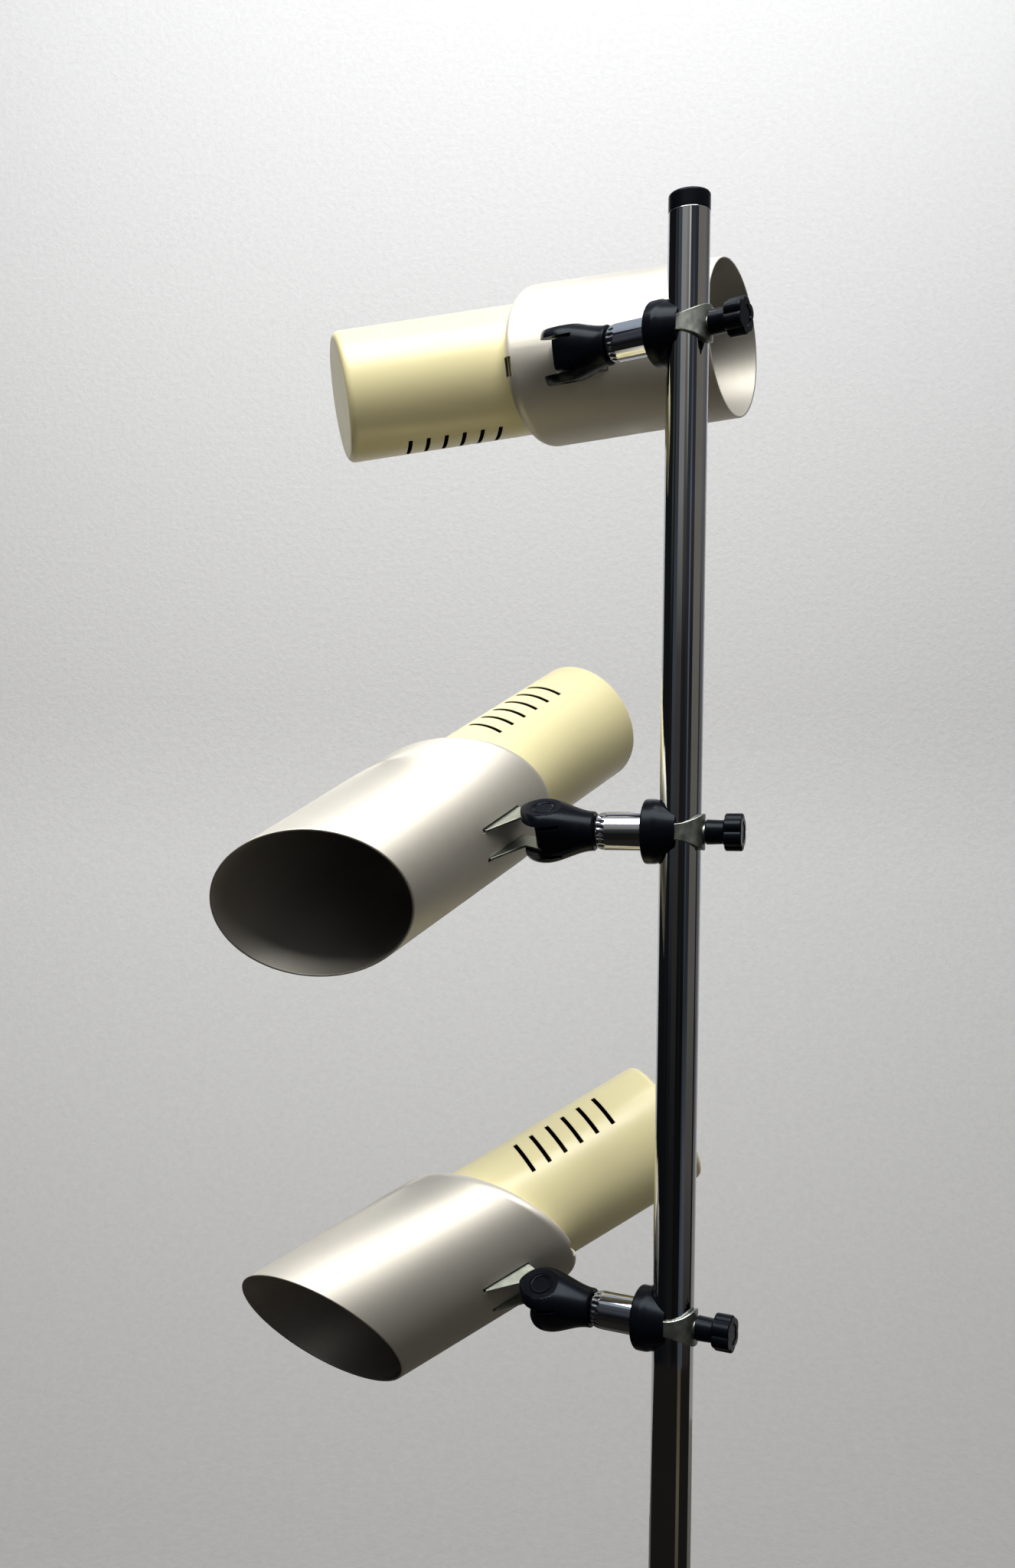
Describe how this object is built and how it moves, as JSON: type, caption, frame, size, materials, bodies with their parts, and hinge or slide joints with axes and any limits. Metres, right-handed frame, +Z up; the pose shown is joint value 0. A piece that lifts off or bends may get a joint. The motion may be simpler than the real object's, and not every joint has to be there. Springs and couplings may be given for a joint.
{
  "type": "three-spot pole floor lamp",
  "caption": "Free-standing chromed pole lamp on a round weighted base, with adjustable spots whose slant-cut aluminium shades and cream housings hang on black knuckles.",
  "frame": {"origin": "centre of the underside of the base, on the floor", "axes": "+Z up along the pole, -Y towards the viewer, the spots reach out towards -X"},
  "size_m": [0.3979, 0.3178, 1.512],
  "materials": {
    "chrome": "bright chromium plate",
    "black_plastic": "black moulded plastic, half gloss",
    "black_steel": "blackened screw",
    "black_lacquer": "black lacquer, satin",
    "cream": "cream enamel, half gloss",
    "aluminium": "satin spun aluminium",
    "zinc": "zinc-plated steel",
    "steel": "bright steel",
    "iron": "cast",
    "pad": "black rubber sheet",
    "bakelite": "black phenolic"
  },
  "bodies": {
    "stand": {"base_pad": "pad", "base_weight": "iron", "base_cover": "black_lacquer", "base_grommet": "black_plastic", "foot_bolt": "steel", "foot_nut": "zinc", "foot_ring": "chrome", "pole": "chrome", "end_plug": "black_plastic"},
    "upper_clamp_body": {"upper_collar": "black_plastic", "upper_strap": "zinc", "upper_sleeve": "chrome", "upper_swivel_nut": "steel"},
    "upper_screw_body": {"upper_clamp_screw": "steel", "upper_thumb_knob": "black_plastic"},
    "upper_knuckle_body": {"upper_swivel_bolt": "steel", "upper_knuckle": "black_plastic", "upper_pivot_screw": "black_steel", "upper_pivot_nut": "zinc"},
    "upper_spot_body": {"upper_bracket": "zinc", "upper_shade": "aluminium", "upper_housing": "cream", "upper_holder_strip": "zinc", "upper_strip_screw": "zinc", "upper_lampholder": "bakelite"},
    "middle_clamp_body": {"middle_collar": "black_plastic", "middle_strap": "zinc", "middle_sleeve": "chrome", "middle_swivel_nut": "steel"},
    "middle_screw_body": {"middle_clamp_screw": "steel", "middle_thumb_knob": "black_plastic"},
    "middle_knuckle_body": {"middle_swivel_bolt": "steel", "middle_knuckle": "black_plastic", "middle_pivot_screw": "black_steel", "middle_pivot_nut": "zinc"},
    "middle_spot_body": {"middle_bracket": "zinc", "middle_shade": "aluminium", "middle_housing": "cream", "middle_holder_strip": "zinc", "middle_strip_screw": "zinc", "middle_lampholder": "bakelite"},
    "lower_clamp_body": {"lower_collar": "black_plastic", "lower_strap": "zinc", "lower_sleeve": "chrome", "lower_swivel_nut": "steel"},
    "lower_screw_body": {"lower_clamp_screw": "steel", "lower_thumb_knob": "black_plastic"},
    "lower_knuckle_body": {"lower_swivel_bolt": "steel", "lower_knuckle": "black_plastic", "lower_pivot_screw": "black_steel", "lower_pivot_nut": "zinc"},
    "lower_spot_body": {"lower_bracket": "zinc", "lower_shade": "aluminium", "lower_housing": "cream", "lower_holder_strip": "zinc", "lower_strip_screw": "zinc", "lower_lampholder": "bakelite"}
  },
  "joints": [
    {"name": "upper_swivel", "type": "hinge", "parent": "stand", "child": "upper_clamp_body", "pos_m": [0, 0, 1.4299], "axis": [0, 0, 1], "range_deg": [-55, 55]},
    {"name": "upper_thumb_screw", "type": "hinge", "parent": "upper_clamp_body", "child": "upper_screw_body", "pos_m": [0, 0, 1.4299], "axis": [-0.7815, 0.6239, 0], "range_deg": [0, 720]},
    {"name": "upper_roll", "type": "hinge", "parent": "upper_clamp_body", "child": "upper_knuckle_body", "pos_m": [-0.03564, 0.02845, 1.4299], "axis": [-0.7815, 0.6239, 0], "range_deg": [-154.9, 185.1]},
    {"name": "upper_tilt", "type": "hinge", "parent": "upper_knuckle_body", "child": "upper_spot_body", "pos_m": [-0.05713, 0.04561, 1.4299], "axis": [0.1625, 0.2036, -0.9655], "range_deg": [-126.5, 33.5]},
    {"name": "middle_swivel", "type": "hinge", "parent": "stand", "child": "middle_clamp_body", "pos_m": [0, 0, 1.1633], "axis": [0, 0, 1], "range_deg": [-55, 55]},
    {"name": "middle_thumb_screw", "type": "hinge", "parent": "middle_clamp_body", "child": "middle_screw_body", "pos_m": [0, 0, 1.1633], "axis": [-0.915, 0.4035, 0], "range_deg": [0, 720]},
    {"name": "middle_roll", "type": "hinge", "parent": "middle_clamp_body", "child": "middle_knuckle_body", "pos_m": [-0.04172, 0.0184, 1.1633], "axis": [-0.915, 0.4035, 0], "range_deg": [-139.8, 200.2]},
    {"name": "middle_tilt", "type": "hinge", "parent": "middle_knuckle_body", "child": "middle_spot_body", "pos_m": [-0.06688, 0.0295, 1.1633], "axis": [-0.203, -0.4602, 0.8643], "range_deg": [-55.3, 104.7]},
    {"name": "lower_swivel", "type": "hinge", "parent": "stand", "child": "lower_clamp_body", "pos_m": [0, 0, 0.8996], "axis": [0, 0, 1], "range_deg": [-55, 55]},
    {"name": "lower_thumb_screw", "type": "hinge", "parent": "lower_clamp_body", "child": "lower_screw_body", "pos_m": [0, 0, 0.8996], "axis": [-0.8415, 0.5402, 0], "range_deg": [0, 720]},
    {"name": "lower_roll", "type": "hinge", "parent": "lower_clamp_body", "child": "lower_knuckle_body", "pos_m": [-0.03837, 0.02464, 0.8996], "axis": [-0.8415, 0.5402, 0], "range_deg": [-128.8, 211.2]},
    {"name": "lower_tilt", "type": "hinge", "parent": "lower_knuckle_body", "child": "lower_spot_body", "pos_m": [-0.06151, 0.03949, 0.8996], "axis": [-0.3559, -0.5543, 0.7524], "range_deg": [-38.7, 121.3]}
  ]
}
